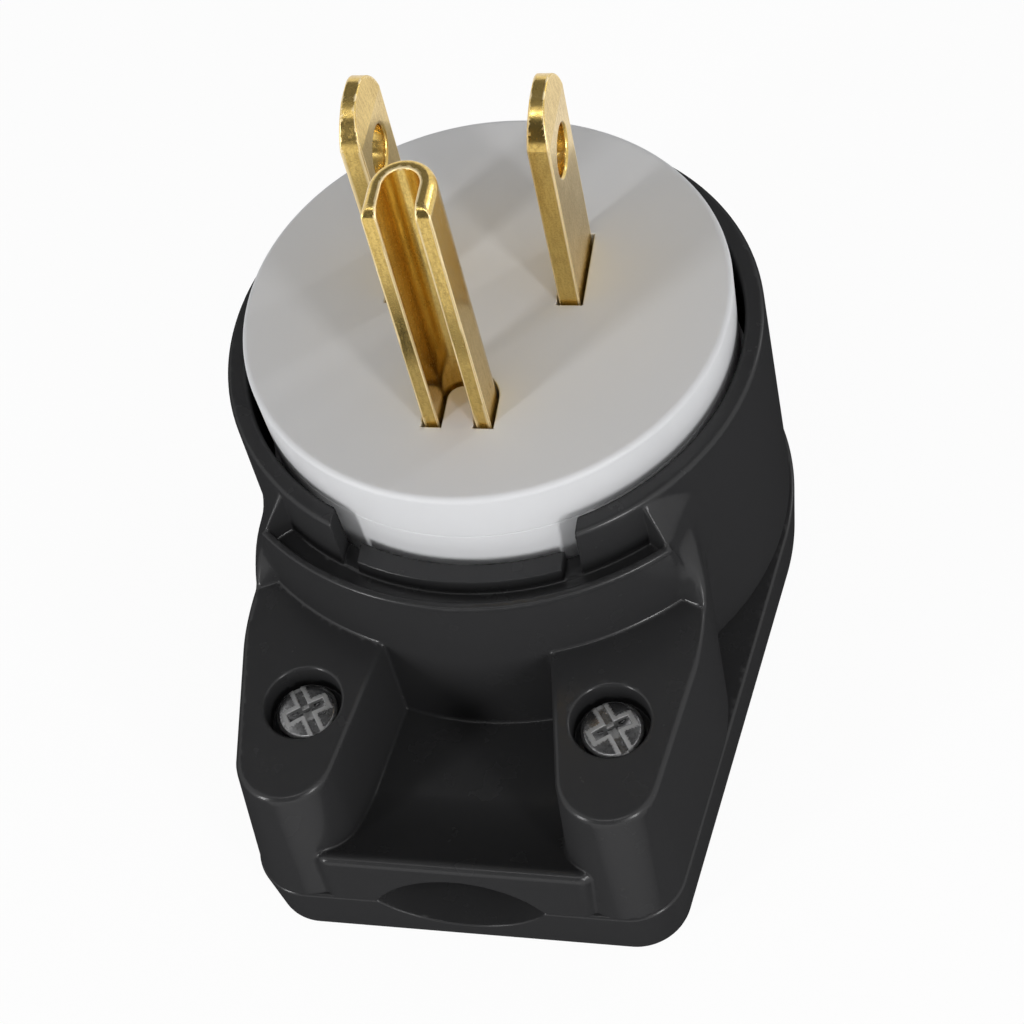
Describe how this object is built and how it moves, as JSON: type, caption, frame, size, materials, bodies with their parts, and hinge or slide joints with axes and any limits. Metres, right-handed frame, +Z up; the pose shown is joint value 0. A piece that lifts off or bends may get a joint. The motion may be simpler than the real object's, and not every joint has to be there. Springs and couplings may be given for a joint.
{
  "type": "type b plug",
  "caption": "Angled three-prong mains plug: round white face in a black two-part housing, flat blades, U-shaped ground pin and a cord entry at right angles.",
  "frame": {"origin": "on the flat underside of the base shell, below the axis of the round face", "axes": "+Z up toward the blade tips, -Y toward the cord entry, +X across the two flat blades toward the neutral blade"},
  "size_m": [0.042, 0.0572, 0.0509],
  "materials": {
    "base_plastic": "moulded black, low gloss",
    "housing_plastic": "moulded black, low gloss",
    "face_plastic": "moulded white, satin",
    "carrier_plastic": "moulded white, satin",
    "blade_brass": "rolled brass, fine grain",
    "pin_brass": "rolled brass, fine grain",
    "clamp_steel": "plated",
    "line_screw_brass": "bright",
    "neutral_screw_steel": "nickel plated",
    "ground_screw_green": "green dyed",
    "housing_screw_steel": "plated, slightly tarnished",
    "nut_steel": "plated",
    "carrier_screw_steel": "plated"
  },
  "bodies": {
    "root": {"base_shell": "base_plastic", "top_housing": "housing_plastic", "face_disc": "face_plastic", "contact_carrier": "carrier_plastic", "line_blade": "blade_brass", "neutral_blade": "blade_brass", "ground_pin": "pin_brass", "line_pressure_plate": "clamp_steel", "neutral_pressure_plate": "clamp_steel", "ground_pressure_plate": "clamp_steel", "line_terminal_screw": "line_screw_brass", "neutral_terminal_screw": "neutral_screw_steel", "ground_terminal_screw": "ground_screw_green", "housing_screw_left": "housing_screw_steel", "housing_screw_right": "housing_screw_steel", "housing_nut_left": "nut_steel", "housing_nut_right": "nut_steel", "carrier_screw_rear": "carrier_screw_steel", "carrier_screw_left": "carrier_screw_steel", "carrier_screw_right": "carrier_screw_steel"}
  },
  "joints": []
}
